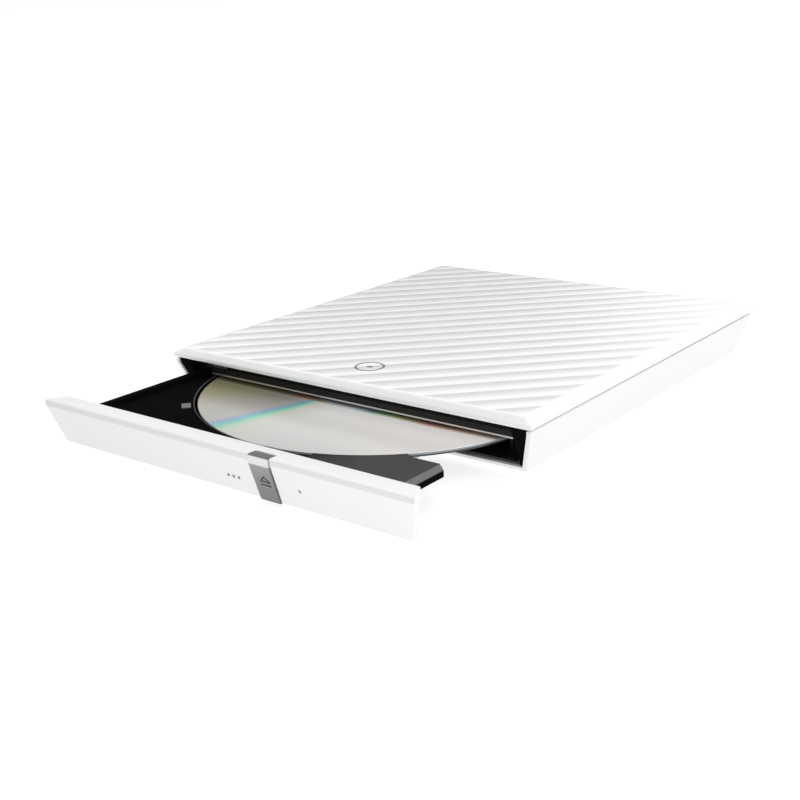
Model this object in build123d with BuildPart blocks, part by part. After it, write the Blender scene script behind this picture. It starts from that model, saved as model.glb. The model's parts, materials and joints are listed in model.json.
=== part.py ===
"""An external slim optical drive with its tray part way out.

Millimetres. +Z is up, +X is to the right and the tray comes out along -Y. The origin is the centre of the
casing's footprint, on the surface that its feet stand on. Everything on the tray is placed with the tray
drawn out by `tray_drawn`.
"""

import os
from math import cos, radians, sin

from build123d import *

os.makedirs("parts", exist_ok=True)

# Casing
case_width = 142.5
case_depth = 155.0
overall_height = 19.5
foot_height = 1.5
foot_radius = 5.0
foot_pocket = 0.4
cover_edge = 3.3
seam = 0.5
side_lean = 4.4
mouth_lean = 4.7
rear_lean = 3.0
rim_band = 1.4
wall = 1.5
floor = 1.3
corner = 2.0

# Ribbed cover
rib_pitch = 8.5
rib_depth = 0.45
rib_angle = 45.0
side_bevel = 3.2
end_bevel = 1.6
bevel_height = 2.0

# Slim drive module, 128 mm wide and 9.5 mm tall
module_width = 128.0
module_depth = 128.0
module_height = 9.5
module_bottom = 3.2
module_recess = 5.9
sheet = 0.5
flange_drop = 1.9
flange_left = -59.5
gasket_left = -52.0

# Tray, disc and travel
tray_drawn = 47.0
tray_travel = 132.5
disc_radius = 60.0
disc_thickness = 1.2
disc_bottom = 8.2
disc_hole = 7.5
disc_setback = 72.4
tray_bottom = 4.2
land_top = 9.9
recess_floor = 7.6
recess_radius = 61.0
rim_top = 11.8
block_bottom = 7.2
block_right = 57.5
block_rear = -97.6
block_bevel = (2.8, 0.7)
tray_left = 61.0
tray_right = 36.8
shoulder_left = 63.2
plate = 0.3

# Bezel
bezel_top = 15.7
lip_depth = 6.5
lip_height = 2.0
face_lean = 3.9
end_lean = 3.7
skin = 2.3
notch_x = 68.6
notch_depth = 3.3
button_x = 19.6
button_width = 7.3
button_depth = 2.6
button_travel = 0.5
proud = 0.4
back = 1.3

# Heights and places that follow
case_top = overall_height - cover_edge - seam
lean_top = case_top - rim_band
cover_bottom = overall_height - cover_edge
floor_top = foot_height + floor
half_width = case_width / 2
half_depth = case_depth / 2
case_half = half_width - 0.4
case_end = half_depth - 0.4
module_front = -half_depth + module_recess
module_rear = module_front + module_depth
module_top = module_bottom + module_height
lid_bottom = module_top - sheet
chassis_floor = module_bottom + sheet
inner_half = module_width / 2 - sheet
bezel_back = -half_depth - tray_drawn - 0.3
bezel_front = bezel_back - lip_depth
bezel_bottom = foot_height
lip_bottom = bezel_top - lip_height
face_slope = face_lean / (lip_bottom - bezel_bottom)
disc_y = bezel_back + disc_setback
disc_top = disc_bottom + disc_thickness
tray_front = bezel_back + 4.4
tray_rear = 54.9 - tray_drawn
plate_bottom = tray_bottom - plate
post_x, post_y = 60.0, 66.0
ear_x, ear_y = 48.0, 60.0
foot_x, foot_front, foot_rear = 52.0, -58.0, 60.0
usb_x, usb_z = 30.0, 7.3
board_mounts = ((-8.0, 69.0), (12.0, 69.0))
board_bottom, board_top = 4.3, 5.3
locator_inner, locator_top = 64.15, 5.4
latch_post_x, latch_post_y = 52.5, -57.8


def finish(built, name):
    """Labels a finished sub-part and writes it to its own file."""
    built.part.label = name
    export_step(built.part, f"parts/{name}.step")


def slab(x_range, y_range, z_range):
    """A plain rectangular block between two corners."""
    (x0, x1), (y0, y1), (z0, z1) = x_range, y_range, z_range
    with BuildPart(mode=Mode.PRIVATE) as block:
        with BuildSketch(Plane.XY.offset(z0)):
            with Locations(((x0 + x1) / 2, (y0 + y1) / 2)):
                Rectangle(x1 - x0, y1 - y0)
        extrude(amount=z1 - z0)
    return block.part


def crossed(side_points, front_points):
    """The solid that has one outline seen from the side and another seen from the front."""
    with BuildPart(mode=Mode.PRIVATE) as solid:
        with BuildSketch(Plane.YZ):
            with BuildLine():
                Polyline(*side_points, close=True)
            make_face()
        extrude(amount=case_width, both=True)
        with BuildSketch(Plane.XZ):
            with BuildLine():
                Polyline(*front_points, close=True)
            make_face()
        extrude(amount=2 * case_depth, both=True, mode=Mode.INTERSECT)
    return solid.part


def leaning_box(low, high, bottom, top, radius):
    """A box with rounded corners whose walls lean in towards the bottom, straight above `lean_top`."""
    with BuildPart(mode=Mode.PRIVATE) as box:
        for half, front, rear, height in ((*low, bottom), (*high, lean_top)):
            with BuildSketch(Plane.XY.offset(height)):
                with Locations((0, (front + rear) / 2)):
                    RectangleRounded(2 * half, rear - front, radius)
        loft(ruled=True)
        half, front, rear = high
        with BuildSketch(Plane.XY.offset(lean_top)):
            with Locations((0, (front + rear) / 2)):
                RectangleRounded(2 * half, rear - front, radius)
        extrude(amount=top - lean_top)
    return box.part


# Bottom case: a tub with leaning walls, open at the front
lean_height = lean_top - foot_height
floor_share = floor / lean_height
low_half = case_half - side_lean
inner_half_low = low_half + side_lean * floor_share - wall
inner_rear_low = case_end - rear_lean * (1 - floor_share) - wall
ahead = case_depth

with BuildPart() as bottom_case:
    add(leaning_box((low_half, -ahead, case_end - rear_lean), (case_half, -ahead, case_end),
                    foot_height, case_top, corner))
    hollow_side = [
        (-2 * ahead, floor_top), (inner_rear_low, floor_top), (case_end - wall, lean_top),
        (case_end - wall, case_top + 1), (-2 * ahead, case_top + 1),
    ]
    hollow_front = [
        (-inner_half_low, floor_top), (inner_half_low, floor_top), (case_half - wall, lean_top),
        (case_half - wall, case_top + 1), (-case_half + wall, case_top + 1), (-case_half + wall, lean_top),
    ]
    add(crossed(hollow_side, hollow_front), mode=Mode.SUBTRACT)
    # the mouth's edges lean back towards the bottom
    with BuildSketch(Plane.YZ):
        with BuildLine():
            Polyline(
                (-2 * ahead, 0), (-case_end + mouth_lean, 0), (-case_end + mouth_lean, foot_height),
                (-case_end, lean_top), (-case_end, case_top + 2), (-2 * ahead, case_top + 2), close=True,
            )
        make_face()
    extrude(amount=case_width, both=True, mode=Mode.SUBTRACT)
    # posts that take the cover's screws, and posts under the drive's two ears
    with BuildSketch(Plane.XY.offset(floor_top)):
        with Locations((-post_x, post_y), (post_x, post_y)):
            Circle(3.0)
    extrude(amount=6.2)
    with BuildSketch(Plane.XY.offset(floor_top)):
        with Locations((-ear_x, ear_y), (ear_x, ear_y)):
            Circle(2.2)
    extrude(amount=5.2)
    with BuildSketch(Plane.XY.offset(8.0)):
        with Locations((-ear_x, ear_y), (ear_x, ear_y)):
            Circle(0.8)
    extrude(amount=-4.0, mode=Mode.SUBTRACT)
    # bosses under the bridge board
    with BuildSketch(Plane.XY.offset(floor_top)):
        with Locations(*board_mounts):
            Circle(1.8)
    extrude(amount=1.5)
    with BuildSketch(Plane.XY.offset(board_bottom)):
        with Locations(*board_mounts):
            Circle(0.7)
    extrude(amount=-1.3, mode=Mode.SUBTRACT)
    # ribs that locate the drive from both sides
    for side in (-1, 1):
        for y in (-58, 0, 40):
            add(slab(sorted((side * locator_inner, side * 66.2)), (y - 2, y + 2), (floor_top, locator_top)))
    # screw passages, foot pockets and the socket's opening
    with BuildSketch(Plane.XY.offset(foot_height)):
        with Locations((-post_x, post_y), (post_x, post_y)):
            Circle(2.2)
    extrude(amount=4.6, mode=Mode.SUBTRACT)
    with BuildSketch(Plane.XY.offset(foot_height)):
        with Locations((-post_x, post_y), (post_x, post_y)):
            Circle(1.0)
    extrude(amount=8.0, mode=Mode.SUBTRACT)
    with BuildSketch(Plane.XY.offset(foot_height)):
        for y in (foot_front, foot_rear):
            with Locations((-foot_x, y), (foot_x, y)):
                Circle(foot_radius + 0.05)
    extrude(amount=foot_pocket, mode=Mode.SUBTRACT)
    with BuildSketch(Plane.XZ.offset(-72)):
        with Locations((usb_x, usb_z)):
            RectangleRounded(8.3, 4.5, 0.6)
    extrude(amount=-8, mode=Mode.SUBTRACT)
finish(bottom_case, "bottom_case")

# Top cover: a plate whose upper side is a row of shallow diagonal ribs
bevel_bottom = overall_height - bevel_height
cover_side = [
    (-half_depth, cover_bottom), (half_depth, cover_bottom), (half_depth, bevel_bottom),
    (half_depth - end_bevel, overall_height), (-half_depth + end_bevel, overall_height),
    (-half_depth, bevel_bottom),
]
cover_front = [
    (-half_width, cover_bottom), (half_width, cover_bottom), (half_width, bevel_bottom),
    (half_width - side_bevel, overall_height), (-half_width + side_bevel, overall_height),
    (-half_width, bevel_bottom),
]
along = Vector(cos(radians(rib_angle)), sin(radians(rib_angle)), 0)
across = Vector(-along.Y, along.X, 0)
rib_count = 2 * int(0.75 * case_depth / rib_pitch)
valley = overall_height - rib_depth
with BuildPart() as top_cover:
    add(crossed(cover_side, cover_front))
    with BuildSketch(Plane(origin=(0, 0, 0), x_dir=across, z_dir=along)):
        with BuildLine():
            left = -rib_count / 2 * rib_pitch
            for rib in range(rib_count):
                start = left + rib * rib_pitch
                crest = start + rib_pitch / 2
                ThreePointArc((start, valley), (crest, overall_height), (start + rib_pitch, valley))
            Polyline((left, valley), (left, cover_bottom - 1), (-left, cover_bottom - 1), (-left, valley))
        make_face()
    extrude(amount=case_depth, both=True, mode=Mode.INTERSECT)
    # hollow underside
    with BuildSketch(Plane.XY.offset(cover_bottom)):
        Rectangle(case_width - 6, case_depth - 6)
    extrude(amount=1.1, mode=Mode.SUBTRACT)
    # skirt inside the case walls on three sides
    skirt_half, skirt_rear, skirt_front = case_half - wall - 0.15, case_end - wall - 0.15, -66.0
    skirt_middle, skirt_length = (skirt_rear + skirt_front) / 2, skirt_rear - skirt_front
    with BuildSketch(Plane.XY.offset(lean_top + 0.1)):
        with Locations((0, skirt_middle)):
            Rectangle(2 * skirt_half, skirt_length)
        with Locations((0, skirt_middle - 1.2)):
            Rectangle(2 * skirt_half - 2.4, skirt_length, mode=Mode.SUBTRACT)
    extrude(amount=cover_bottom + 1.2 - lean_top - 0.1)
    # bosses for the two screws
    with BuildSketch(Plane.XY.offset(9.2)):
        with Locations((-post_x, post_y), (post_x, post_y)):
            Circle(2.6)
            Circle(0.85, mode=Mode.SUBTRACT)
    extrude(amount=8.2)
finish(top_cover, "top_cover")

with BuildPart() as rubber_feet:
    with BuildSketch():
        for y in (foot_front, foot_rear):
            with Locations((-foot_x, y), (foot_x, y)):
                Circle(foot_radius)
    extrude(amount=foot_height + foot_pocket)
    chamfer(rubber_feet.edges().filter_by(GeomType.CIRCLE).group_by(Axis.Z)[0], 0.4)
finish(rubber_feet, "rubber_feet")


def screw(place, head_radius, head_height, shank_radius, shank_length, seat, up):
    """A cross-recessed screw: its head lies behind the height `seat` and its shank runs the way of `up`."""
    with BuildPart(mode=Mode.PRIVATE) as made:
        with BuildSketch(Plane.XY.offset(seat)):
            with Locations(place):
                Circle(head_radius)
        extrude(amount=-up * head_height)
        with BuildSketch(Plane.XY.offset(seat)):
            with Locations(place):
                Circle(shank_radius)
        extrude(amount=up * shank_length)
        with BuildSketch(Plane.XY.offset(seat - up * head_height)):
            with Locations(place):
                Rectangle(head_radius * 1.2, 0.35)
                Rectangle(0.35, head_radius * 1.2)
        extrude(amount=up * head_height / 2, mode=Mode.SUBTRACT)
    return made.part


with BuildPart() as case_screws:
    for x in (-post_x, post_x):
        add(screw((x, post_y), 1.9, 1.2, 0.8, 8.5, foot_height + 4.6, 1))
finish(case_screws, "case_screws")

with BuildPart() as drive_screws:
    for x in (-ear_x, ear_x):
        add(screw((x, ear_y), 1.8, 1.1, 0.75, 4.0, 8.0 + sheet, -1))
finish(drive_screws, "drive_screws")

with BuildPart() as board_screws:
    for place in board_mounts:
        add(screw(place, 1.3, 0.8, 0.65, 2.0, board_top, -1))
finish(board_screws, "board_screws")

# Drive chassis: a folded steel tray with two ears at the back
outer_half = module_width / 2
with BuildPart() as drive_chassis:
    add(slab((-outer_half, outer_half), (module_front, module_rear), (module_bottom, lid_bottom)))
    add(slab((-inner_half, inner_half), (module_front - 1, module_rear - sheet),
             (chassis_floor, module_top)), mode=Mode.SUBTRACT)
    for side in (-1, 1):
        add(slab((side * ear_x - 3.5, side * ear_x + 3.5), (module_rear, ear_y + 3), (8.0, 8.0 + sheet)))
    with BuildSketch(Plane.XY.offset(8.0)):
        with Locations((-ear_x, ear_y), (ear_x, ear_y)):
            Circle(0.95)
    extrude(amount=sheet, mode=Mode.SUBTRACT)
finish(drive_chassis, "drive_chassis")

with BuildPart() as drive_lid:
    add(slab((-outer_half, outer_half), (module_front, module_rear), (lid_bottom, module_top)))
    add(slab((flange_left, inner_half), (module_front, module_front + sheet),
             (lid_bottom - flange_drop, lid_bottom)))
    add(slab((-62.8, -61.8), (module_front, module_front + sheet), (module_top, module_top + 0.8)))
finish(drive_lid, "drive_lid")

with BuildPart() as lid_gasket:
    add(slab((gasket_left, inner_half), (module_front + 0.1, module_front + 3.6),
             (module_top, cover_bottom + 1.1)))
finish(lid_gasket, "lid_gasket")

# Dark cheeks that fill the mouth on both sides of the drive, leaning back with the casing's mouth
cheek_inner = locator_inner + 0.05
cheek_bottom, cheek_top = floor_top + 0.1, cover_bottom - 0.1
cheek_rear = -66.3
cheek_step = 0.6
with BuildPart() as mouth_cheeks:
    cheek_side = [
        (-case_end + mouth_lean + cheek_step, cheek_bottom), (cheek_rear, cheek_bottom),
        (cheek_rear, cheek_top), (-case_end + cheek_step, cheek_top), (-case_end + cheek_step, lean_top),
    ]
    for side in (-1, 1):
        cheek_front = [
            (side * cheek_inner, cheek_bottom), (side * (inner_half_low - 0.1), cheek_bottom),
            (side * (case_half - wall - 0.1), lean_top), (side * (case_half - wall - 0.1), cheek_top),
            (side * cheek_inner, cheek_top),
        ]
        add(crossed(cheek_side, cheek_front))
finish(mouth_cheeks, "mouth_cheeks")

with BuildPart() as latch_post:
    with BuildSketch(Plane.XY.offset(chassis_floor)):
        with Locations((latch_post_x, latch_post_y)):
            Circle(0.9)
    extrude(amount=2.6)
finish(latch_post, "latch_post")

# Slides: a channel fixed to the chassis, a steel rail in it, and a groove in the tray's edge
rail_length = 118.0
rail_ratio = 0.5
rail_front = module_front + 0.6 - rail_ratio * tray_drawn
groove = (4.8, 5.4)


def mirrored(side, near, far):
    """An x range measured outwards from the middle, on the given side."""
    return tuple(sorted((side * near, side * far)))


def guide_channel(side, edge):
    """A C-shaped plastic channel that opens towards the tray's edge."""
    with BuildPart() as channel:
        y_range = (module_front + 0.8, 50)
        add(slab(mirrored(side, edge + 1.4, edge + 2.0), y_range, (chassis_floor, 6.5)))
        add(slab(mirrored(side, edge + 0.5, edge + 2.0), y_range, (chassis_floor, 4.1)))
        add(slab(mirrored(side, edge + 0.5, edge + 2.0), y_range, (6.1, 6.5)))
    return channel


def slide_rail(side, edge):
    """A steel strip with a rib that runs in the tray's groove."""
    with BuildPart() as rail:
        y_range = (rail_front, rail_front + rail_length)
        add(slab(mirrored(side, edge + 0.3, edge + 1.2), y_range, (4.2, 6.0)))
        add(slab(mirrored(side, edge - 0.9, edge + 0.3), y_range, (4.9, 5.3)))
    return rail


left_guide = guide_channel(-1, tray_left)
right_guide = guide_channel(1, tray_right)
left_rail = slide_rail(-1, tray_left)
right_rail = slide_rail(1, tray_right)
finish(left_guide, "left_guide")
finish(right_guide, "right_guide")
finish(left_rail, "left_rail")
finish(right_rail, "right_rail")

# Tray
window_half = 23.0
window_front, window_rear = disc_y - 61.0, disc_y + 16.4
board_x, board_y = (-57.0, -25.0), (-98.0, -4.0)
stop_x, stop_y = -41.8, disc_y - 47.9
pin_x, pin_z = 32.0, 7.5
wall_front = tray_front - 5.2

with BuildPart() as tray:
    add(slab((-tray_left, tray_right), (tray_front, tray_rear), (tray_bottom, land_top)))
    # thin block at the front right, bevelled along its outer edge
    with BuildSketch(Plane.XY.offset(block_bottom)):
        with BuildLine():
            Polyline(
                (tray_right - 1, tray_front), (block_right, tray_front), (block_right, block_rear - 2.0),
                (block_right - 2.7, block_rear), (tray_right + 8.5, block_rear),
                (tray_right, block_rear + 5), (tray_right - 1, block_rear + 5), close=True,
            )
        make_face()
    extrude(amount=land_top - block_bottom)
    with BuildSketch(Plane.XZ.offset(-tray_front)):
        with BuildLine():
            Polyline(
                (block_right - block_bevel[0], land_top), (block_right + 1, land_top),
                (block_right + 1, land_top - block_bevel[1]), (block_right, land_top - block_bevel[1]),
                close=True,
            )
        make_face()
    extrude(amount=tray_front - block_rear, mode=Mode.SUBTRACT)
    # shoulder and raised rim over the left slide
    add(slab((-shoulder_left, -tray_left), (tray_front, tray_rear), (6.8, rim_top)))
    add(slab((-tray_left, -60.6), (tray_front, tray_rear), (land_top, rim_top)))
    # front wall that carries the bezel
    add(slab((-62.5, 62.5), (wall_front, tray_front), (tray_bottom, lip_bottom - 0.3)))
    # disc recess
    with BuildSketch(Plane.XY.offset(recess_floor)):
        with Locations((0, disc_y)):
            Circle(recess_radius)
    extrude(amount=land_top - recess_floor, mode=Mode.SUBTRACT)
    with BuildSketch(Plane.XY.offset(recess_floor)):
        with Locations((14, disc_y - 59.5)):
            SlotOverall(13, 6)
    extrude(amount=land_top - recess_floor, mode=Mode.SUBTRACT)
    # window over the pickup, pocket for the board, grooves for the rails
    add(slab((-window_half, window_half), (window_front, window_rear), (tray_bottom, recess_floor)),
        mode=Mode.SUBTRACT)
    add(slab(board_x, board_y, (tray_bottom, 6.6)), mode=Mode.SUBTRACT)
    for side, edge in ((-1, tray_left), (1, tray_right)):
        add(slab(mirrored(side, edge - 1.1, edge + 0.1), (tray_front + 1.5, tray_rear), groove),
            mode=Mode.SUBTRACT)
    # seat for the disc stop
    with BuildSketch(Plane.XY.offset(land_top)):
        with Locations(Location((stop_x, stop_y), 48)):
            Rectangle(3.0, 4.6)
    extrude(amount=-0.6, mode=Mode.SUBTRACT)
    # emergency release passage
    with BuildSketch(Plane.XZ.offset(-tray_front)):
        with Locations((pin_x, pin_z)):
            Circle(0.7)
    extrude(amount=6, mode=Mode.SUBTRACT)
finish(tray, "tray")

with BuildPart() as tray_underplate:
    add(slab((-tray_left + 1.6, tray_right - 1.4), (tray_front + 2, tray_rear - 1.0),
             (plate_bottom, tray_bottom)))
finish(tray_underplate, "tray_underplate")

with BuildPart() as disc_stop:
    with BuildSketch(Plane.XY.offset(land_top - 0.6)):
        with Locations(Location((stop_x, stop_y), 48)):
            Rectangle(2.9, 4.5)
    extrude(amount=0.85)
finish(disc_stop, "disc_stop")


# Front bezel: a lip over a leaning skin, with a slot for the button
def face_y(z, inset=0.0):
    """Y of the leaning face at height z, or of a surface `inset` behind it."""
    return bezel_front + (lip_bottom - z) * face_slope + inset


bezel_side = [
    (bezel_back, bezel_top), (bezel_front, bezel_top), (bezel_front, lip_bottom),
    (face_y(bezel_bottom), bezel_bottom), (face_y(bezel_bottom, skin), bezel_bottom),
    (face_y(lip_bottom, skin), lip_bottom), (bezel_back, lip_bottom),
]
bezel_ends = [
    (-half_width + end_lean, bezel_bottom), (half_width - end_lean, bezel_bottom), (half_width, lip_bottom),
    (half_width, bezel_top), (-half_width, bezel_top), (-half_width, lip_bottom),
]
slot_half = button_width / 2 + 0.2
lamp_places = [(5.3, 6.5), (7.3, 6.5), (9.3, 6.5)]
with BuildPart() as front_bezel:
    add(crossed(bezel_side, bezel_ends))
    top_front = front_bezel.edges().filter_by(Axis.X).filter_by(
        lambda e: e.center().Z > bezel_top - 0.1 and e.center().Y < bezel_front + 0.1)
    fillet(top_front, 0.7)
    bottom_front = front_bezel.edges().filter_by(Axis.X).filter_by(
        lambda e: e.center().Z < bezel_bottom + 0.1 and e.center().Y < face_y(bezel_bottom) + 0.1)
    fillet(bottom_front, 0.5)
    # the lip's back corners are notched
    with BuildSketch(Plane.XY.offset(lip_bottom - 1)):
        for side in (-1, 1):
            with BuildLine():
                Polyline(
                    (side * notch_x, bezel_back + 1), (side * notch_x, bezel_back),
                    (side * (notch_x + 0.8), bezel_back - notch_depth),
                    (side * (half_width + 1), bezel_back - notch_depth),
                    (side * (half_width + 1), bezel_back + 1), close=True,
                )
            make_face()
    extrude(amount=lip_height + 2, mode=Mode.SUBTRACT)
    # bottom return and the ribs that meet the tray's front wall
    add(slab((-62, 62), (face_y(bezel_bottom, skin - 1), tray_front - 0.8), (bezel_bottom, 3.0)))
    for x in (-56, -24, 1, 40, 56):
        with BuildSketch(Plane.YZ.offset(x - 0.8)):
            with BuildLine():
                Polyline(
                    (face_y(4.4, skin - 0.5), 4.4), (wall_front, 4.4), (wall_front, lip_bottom),
                    (face_y(lip_bottom, skin - 0.5), lip_bottom), close=True,
                )
            make_face()
        extrude(amount=1.6)
    # button slot, open below and through the front of the lip
    slot_x = (button_x - slot_half, button_x + slot_half)
    slot_back = bezel_front + button_depth + button_travel + 0.15
    add(slab(slot_x, (bezel_front - 1, slot_back), (lip_bottom - 0.2, bezel_top + 1)), mode=Mode.SUBTRACT)
    add(slab(slot_x, (bezel_front - 1, wall_front + 0.4), (bezel_bottom - 1, lip_bottom)),
        mode=Mode.SUBTRACT)
    with BuildSketch(Plane.XZ.offset(-bezel_front + 1)):
        with Locations(*lamp_places):
            Circle(0.5)
        with Locations((pin_x, pin_z)):
            Circle(0.55)
    extrude(amount=-6.3, mode=Mode.SUBTRACT)
finish(front_bezel, "front_bezel")

bend_z = lip_bottom - 0.4
button_foot = bezel_bottom - 0.3
button_front = bezel_front - proud
button_rear = bezel_front + button_depth
top_plate = 1.0
with BuildPart() as eject_button:
    with BuildSketch(Plane.YZ.offset(button_x - button_width / 2)):
        with BuildLine():
            Polyline(
                (button_rear, bezel_top), (button_front, bezel_top), (button_front, bend_z),
                (face_y(button_foot, -proud), button_foot), (face_y(button_foot, back), button_foot),
                (face_y(bend_z, back), bend_z), (face_y(bend_z, back), bezel_top - top_plate),
                (button_rear, bezel_top - top_plate), close=True,
            )
        make_face()
    extrude(amount=button_width)
    round_edges = eject_button.edges().filter_by(Axis.X).filter_by(
        lambda e: e.center().Y < button_front + 0.1)
    fillet(round_edges, 0.6)
finish(eject_button, "eject_button")

with BuildPart() as eject_switch:
    add(slab((button_x - 2.2, button_x + 2.2), (wall_front - 1.2, wall_front), (5.3, 9.7)))
    with BuildSketch(Plane.XZ.offset(-wall_front + 1.2)):
        with Locations((button_x, 7.5)):
            Circle(1.1)
    extrude(amount=0.3)
finish(eject_switch, "eject_switch")

with BuildPart() as indicator_lenses:
    for x, z in lamp_places:
        with BuildSketch(Plane.XZ.offset(-wall_front)):
            with Locations((x, z)):
                Circle(0.45)
        extrude(amount=wall_front - face_y(z) + 0.05)
finish(indicator_lenses, "indicator_lenses")

# Spindle, hub and disc
with BuildPart() as spindle_motor:
    with BuildSketch(Plane.XY.offset(tray_bottom)):
        with Locations((0, disc_y)):
            Circle(11.5)
            Circle(1.05, mode=Mode.SUBTRACT)
    extrude(amount=0.8)
    with BuildSketch(Plane.XY.offset(tray_bottom + 0.8)):
        with Locations((0, disc_y)):
            Circle(9.5)
            Circle(1.05, mode=Mode.SUBTRACT)
    extrude(amount=1.6)
finish(spindle_motor, "spindle_motor")

with BuildPart() as spindle_hub:
    with BuildSketch(Plane.XY.offset(tray_bottom + 0.3)):
        with Locations((0, disc_y)):
            Circle(1.0)
    extrude(amount=3)
    with BuildSketch(Plane.XY.offset(6.8)):
        with Locations((0, disc_y)):
            Circle(13.5)
    extrude(amount=disc_bottom - 6.8)
    with BuildSketch(Plane.XY.offset(disc_bottom)):
        with Locations((0, disc_y)):
            Circle(7.35)
    extrude(amount=1.8)
    chamfer(spindle_hub.edges().filter_by(GeomType.CIRCLE).group_by(Axis.Z)[-1], 0.8)
    # pockets for the three sprung grips
    with BuildSketch(Plane.XY.offset(disc_bottom + 1.8)):
        with Locations((0, disc_y)):
            with PolarLocations(5.6, 3):
                Rectangle(2.4, 2.6)
    extrude(amount=-1.4, mode=Mode.SUBTRACT)
finish(spindle_hub, "spindle_hub")

with BuildPart() as hub_grips:
    with BuildSketch(Plane.XY.offset(disc_bottom + 0.45)):
        with Locations((0, disc_y)):
            with PolarLocations(5.55, 3):
                Rectangle(2.2, 2.4)
    extrude(amount=1.2)
    chamfer(hub_grips.edges().group_by(Axis.Z)[-1], 0.3)
finish(hub_grips, "hub_grips")

with BuildPart() as optical_disc:
    with BuildSketch(Plane.XY.offset(disc_bottom)):
        with Locations((0, disc_y)):
            Circle(disc_radius)
            Circle(disc_hole, mode=Mode.SUBTRACT)
    extrude(amount=disc_thickness)
    chamfer(optical_disc.edges().filter_by(GeomType.CIRCLE), 0.1)
finish(optical_disc, "optical_disc")

# Traverse: frame, rods, screw, motor and the pickup that rides on them
rod_x, rod_z, rod_radius = 11.5, 5.6, 0.9
screw_x, screw_radius = 18.0, 0.75
frame_half = 22.6
frame_front, frame_rear = window_front + 0.3, window_rear - 0.3
bay_front, bay_rear = frame_front + 2.7, disc_y - 15.0
sled_front, sled_rear = disc_y - 27.8, disc_y - 18.8
lens_y = disc_y - 23.5
frame_top = 7.0
rods_plane = Plane.XZ.offset(-bay_rear - 3.4)

with BuildPart() as traverse_frame:
    add(slab((-frame_half, frame_half), (frame_front, frame_rear), (tray_bottom, frame_top)))
    add(slab((-15.5, 20.6), (bay_front, bay_rear), (tray_bottom - 1, frame_top + 1)), mode=Mode.SUBTRACT)
    add(slab((14.4, 21.6), (bay_rear - 0.1, bay_rear + 8.2), (tray_bottom - 1, frame_top + 1)),
        mode=Mode.SUBTRACT)
    with BuildSketch(Plane.XY.offset(tray_bottom)):
        with Locations((0, disc_y)):
            Circle(11.6)
    extrude(amount=0.8, mode=Mode.SUBTRACT)
    with BuildSketch(Plane.XY.offset(tray_bottom + 0.8)):
        with Locations((0, disc_y)):
            Circle(14.2)
    extrude(amount=frame_top, mode=Mode.SUBTRACT)
    with BuildSketch(rods_plane):
        with Locations((-rod_x, rod_z), (rod_x, rod_z)):
            Circle(rod_radius)
    extrude(amount=bay_rear + 3.4 - bay_front + 1.8, mode=Mode.SUBTRACT)
    with BuildSketch(Plane.XZ.offset(-bay_front)):
        with Locations((screw_x, rod_z)):
            Circle(screw_radius + 0.05)
    extrude(amount=1.4, mode=Mode.SUBTRACT)
finish(traverse_frame, "traverse_frame")

with BuildPart() as guide_rods:
    with BuildSketch(rods_plane):
        with Locations((-rod_x, rod_z), (rod_x, rod_z)):
            Circle(rod_radius)
    extrude(amount=bay_rear + 3.4 - bay_front + 1.8)
finish(guide_rods, "guide_rods")

with BuildPart() as lead_screw:
    with BuildSketch(Plane.XZ.offset(-bay_rear)):
        with Locations((screw_x, rod_z)):
            Circle(screw_radius)
    extrude(amount=bay_rear - bay_front + 1.2)
finish(lead_screw, "lead_screw")

with BuildPart() as sled_motor:
    with BuildSketch(Plane.XZ.offset(-bay_rear - 7.8)):
        with Locations((screw_x, rod_z)):
            RectangleRounded(6.6, 2.6, 1.2)
    extrude(amount=7.6)
finish(sled_motor, "sled_motor")

with BuildPart() as pickup_sled:
    add(slab((-14.4, 14.4), (sled_front, sled_rear), (4.4, 6.9)))
    add(slab((14.4, 20.0), (sled_front + 2, sled_rear - 2), (4.4, 6.9)))
    with BuildSketch(Plane.XZ.offset(-sled_rear)):
        with Locations((-rod_x, rod_z), (rod_x, rod_z)):
            Circle(rod_radius + 0.05)
        with Locations((screw_x, rod_z)):
            Circle(screw_radius + 0.05)
    extrude(amount=sled_rear - sled_front, mode=Mode.SUBTRACT)
finish(pickup_sled, "pickup_sled")

with BuildPart() as pickup_lens:
    with BuildSketch(Plane.XY.offset(6.9)):
        with Locations((0, lens_y)):
            RectangleRounded(7.0, 6.0, 1.0)
    extrude(amount=0.4)
    with BuildSketch(Plane.XY.offset(7.3)):
        with Locations((0, lens_y)):
            Circle(2.2)
    extrude(amount=0.5)
    fillet(pickup_lens.edges().filter_by(GeomType.CIRCLE).group_by(Axis.Z)[-1], 0.4)
finish(pickup_lens, "pickup_lens")

with BuildPart() as traverse_plate:
    add(slab((-frame_half, frame_half), (frame_front, frame_rear), (frame_top, frame_top + 0.3)))
    with BuildSketch(Plane.XY.offset(frame_top)):
        with Locations((0, disc_y)):
            Circle(14.2)
        with Locations((0, (bay_front + bay_rear) / 2)):
            Rectangle(8.4, bay_rear - bay_front)
    extrude(amount=0.3, mode=Mode.SUBTRACT)
finish(traverse_plate, "traverse_plate")

# Tray electronics and latch
with BuildPart() as main_board:
    add(slab((board_x[0] + 0.5, board_x[1] - 0.5), (board_y[0] + 0.5, board_y[1] - 0.5), (tray_bottom, 5.0)))
finish(main_board, "main_board")

with BuildPart() as main_board_chips:
    for x, y, width, depth, height in (
        (-42, -30, 14, 14, 1.2), (-40, -56, 10, 10, 1.0), (-48, -76, 8, 12, 1.1), (-33, -74, 6, 5, 0.9),
        (-50, -14, 7, 5, 1.2), (-31, -14, 4, 9, 1.0), (-36, -90, 12, 5, 1.3),
    ):
        add(slab((x - width / 2, x + width / 2), (y - depth / 2, y + depth / 2), (5.0, 5.0 + height)))
finish(main_board_chips, "main_board_chips")

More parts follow.
